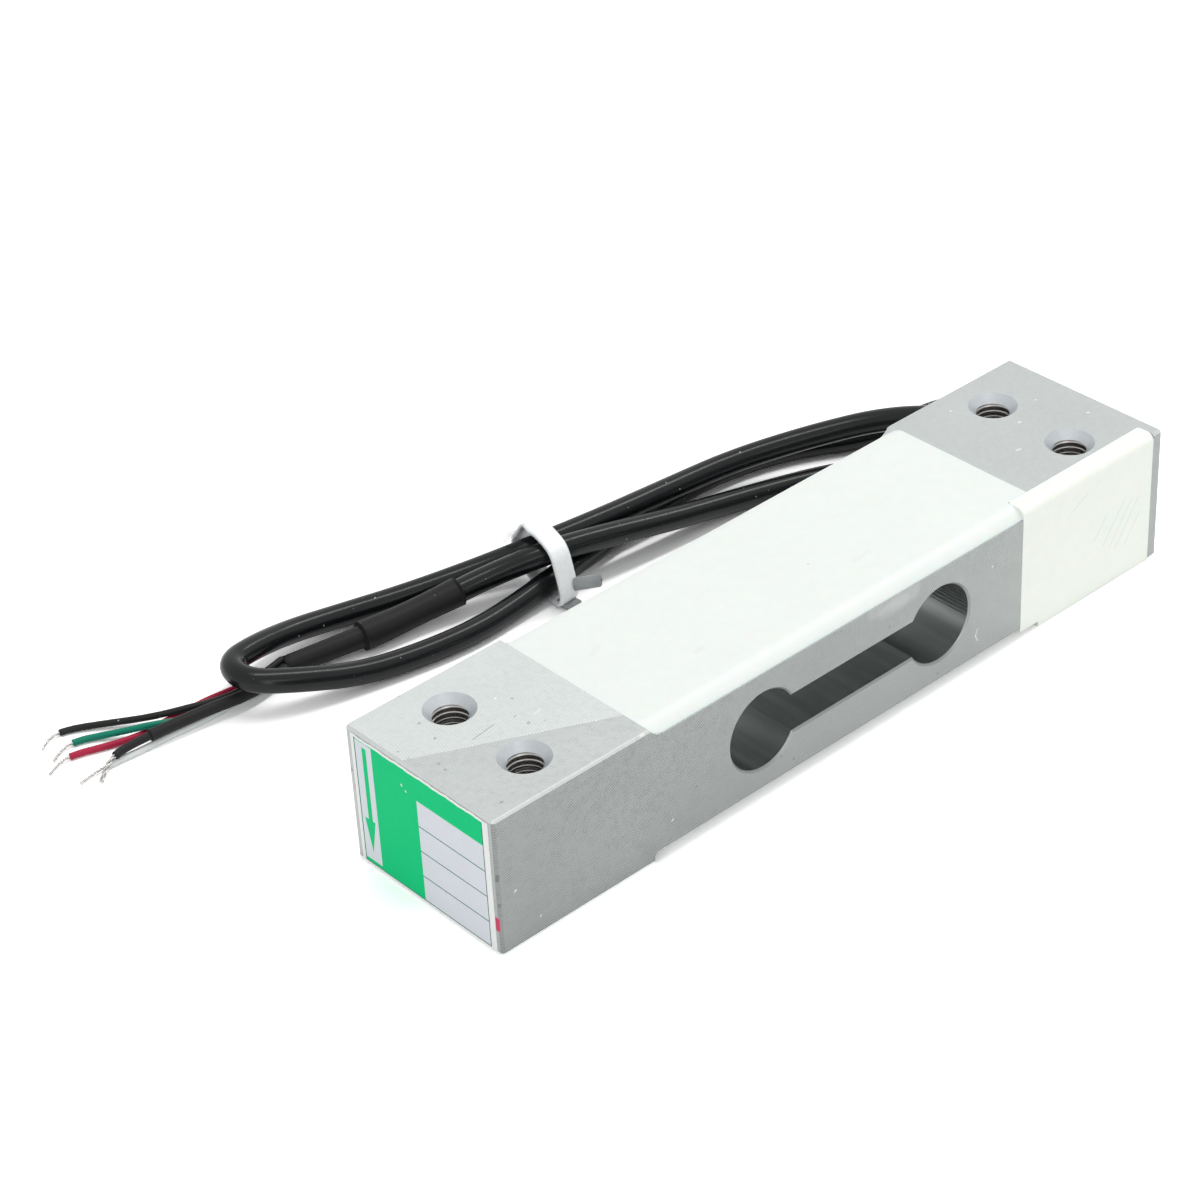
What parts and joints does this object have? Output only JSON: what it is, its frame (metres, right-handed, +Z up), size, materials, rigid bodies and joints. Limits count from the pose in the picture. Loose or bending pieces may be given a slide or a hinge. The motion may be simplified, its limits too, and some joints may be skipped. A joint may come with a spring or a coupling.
{
  "type": "single point load cell",
  "caption": "Aluminium bending-beam load cell with a dog-bone window, white sealed gauge areas, threaded end pads and a short tied cable with bare leads.",
  "frame": {"origin": "middle of the aluminium block's underside", "axes": "+X along the block towards the cable end, +Y across it towards the side that the cable leaves from, +Z up"},
  "size_m": [0.1637, 0.0823, 0.022],
  "materials": {
    "aluminium": "milled, bare",
    "label": "printed vinyl, green and white",
    "sealant": "white silicone",
    "gauge_foil": "foil on polyimide",
    "terminal": "copper on resin",
    "copper_wire": "enamelled copper",
    "board": "glass epoxy",
    "resistor": "chip",
    "solder": "solder",
    "core": "insulated cores",
    "cable_jacket": "black PVC",
    "shrink_sleeve": "black heat-shrink",
    "lead_black": "PVC",
    "lead_red": "PVC",
    "lead_green": "PVC",
    "lead_white": "PVC",
    "tinned_copper": "tinned",
    "tie_plastic": "white plastic over wire"
  },
  "bodies": {
    "root": {"spring_element": "aluminium", "end_label": "label", "top_seal": "sealant", "bottom_seal": "sealant", "pocket_seal": "sealant", "exit_seal": "sealant", "gauge_top_near": "gauge_foil", "gauge_top_far": "gauge_foil", "gauge_bottom_near": "gauge_foil", "gauge_bottom_far": "gauge_foil", "terminals_top": "terminal", "terminals_bottom": "terminal", "jumpers_top": "copper_wire", "jumpers_bottom": "copper_wire", "compensation_board": "board", "trim_resistors": "resistor", "solder_posts": "solder", "core_tails": "core", "cable": "cable_jacket", "outer_sleeve": "shrink_sleeve", "inner_sleeve": "shrink_sleeve", "lead_black": "lead_black", "lead_red": "lead_red", "lead_green": "lead_green", "lead_white": "lead_white", "tip_black": "tinned_copper", "tip_red": "tinned_copper", "tip_green": "tinned_copper", "tip_white": "tinned_copper", "drain_wire": "tinned_copper", "shield_sleeve": "shrink_sleeve", "shield_step": "shrink_sleeve", "cable_tie": "tie_plastic"}
  },
  "joints": []
}
